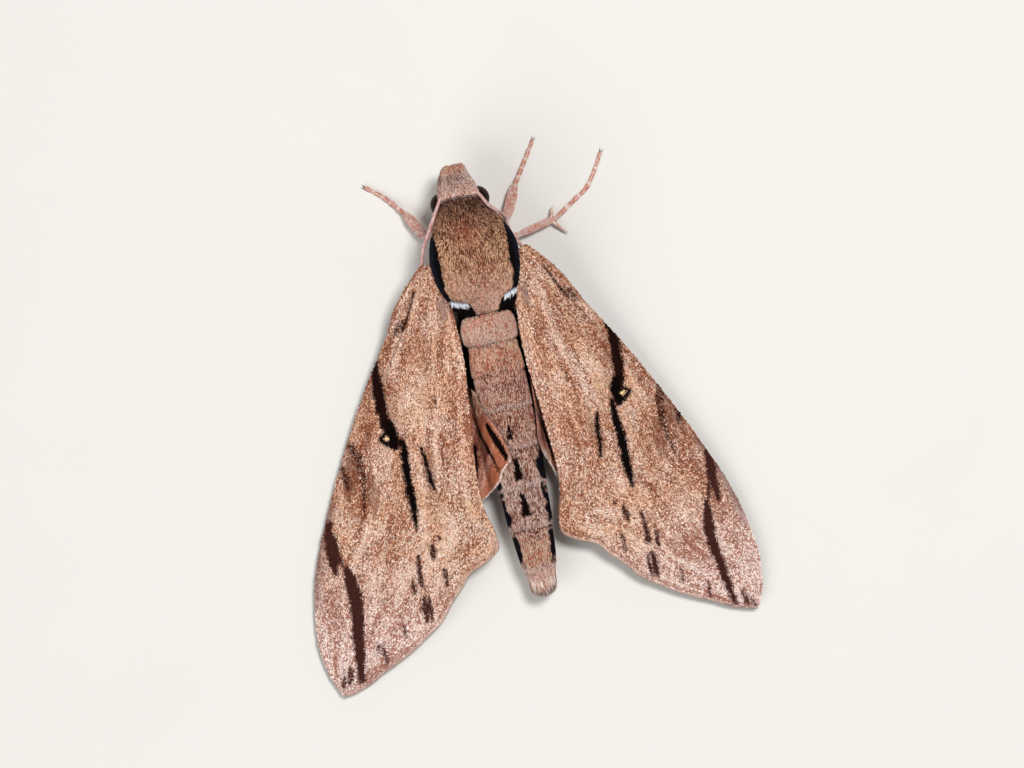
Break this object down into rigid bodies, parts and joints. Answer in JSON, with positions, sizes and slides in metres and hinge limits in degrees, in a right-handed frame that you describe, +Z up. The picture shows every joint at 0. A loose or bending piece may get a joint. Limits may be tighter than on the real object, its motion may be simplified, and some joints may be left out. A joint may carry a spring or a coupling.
{
  "type": "hawkmoth at rest",
  "caption": "Life-size large hawkmoth at rest on its six legs, streaked brown wings folded back over the body like a low roof.",
  "frame": {"origin": "centre of the bounding box's bottom face, on the floor under the wings", "axes": "+Z up, +Y forwards to the head, +X to the moth's own right"},
  "size_m": [0.0606, 0.068, 0.0139],
  "materials": {
    "thorax_hair": "dense golden-brown hair scales, matt",
    "head_hair": "brown hair scales, matt",
    "abdomen_hair": "orange-brown to grey-brown hair scales, matt",
    "wing_scales": "fine overlapping scales, golden tan to red-brown with black streaks",
    "hindwing_scales": "fine scales, red-brown",
    "leg_scales": "short red-brown scales, paler at the joints",
    "antenna": "pale pinkish, ringed",
    "eye": "dark brown, finely faceted, glossy",
    "black_tuft": "black hair scales with white tips",
    "horn": "brown horn"
  },
  "bodies": {
    "root": {"head": "head_hair", "collar": "thorax_hair", "thorax": "thorax_hair", "eye_left": "eye", "eye_right": "eye", "palp_left": "head_hair", "palp_right": "head_hair", "tongue": "horn", "antenna_left": "antenna", "antenna_right": "antenna", "tuft_left": "black_tuft", "tuft_right": "black_tuft", "tail_tuft": "abdomen_hair", "forewing_left": "wing_scales", "forewing_right": "wing_scales", "hindwing_left": "hindwing_scales", "hindwing_right": "hindwing_scales", "abdomen_1": "abdomen_hair", "abdomen_2": "abdomen_hair", "abdomen_3": "abdomen_hair", "abdomen_4": "abdomen_hair", "abdomen_5": "abdomen_hair", "abdomen_6": "abdomen_hair", "abdomen_7": "abdomen_hair", "femur_fore_left": "leg_scales", "femur_fore_right": "leg_scales", "femur_mid_left": "leg_scales", "femur_mid_right": "leg_scales", "femur_hind_left": "leg_scales", "femur_hind_right": "leg_scales", "tibia_fore_left": "leg_scales", "tibia_fore_right": "leg_scales", "tibia_mid_left": "leg_scales", "tibia_mid_right": "leg_scales", "tibia_hind_left": "leg_scales", "tibia_hind_right": "leg_scales", "tarsus_fore_left": "leg_scales", "tarsus_fore_right": "leg_scales", "tarsus_mid_left": "leg_scales", "tarsus_mid_right": "leg_scales", "tarsus_hind_left": "leg_scales", "tarsus_hind_right": "leg_scales"}
  },
  "joints": []
}
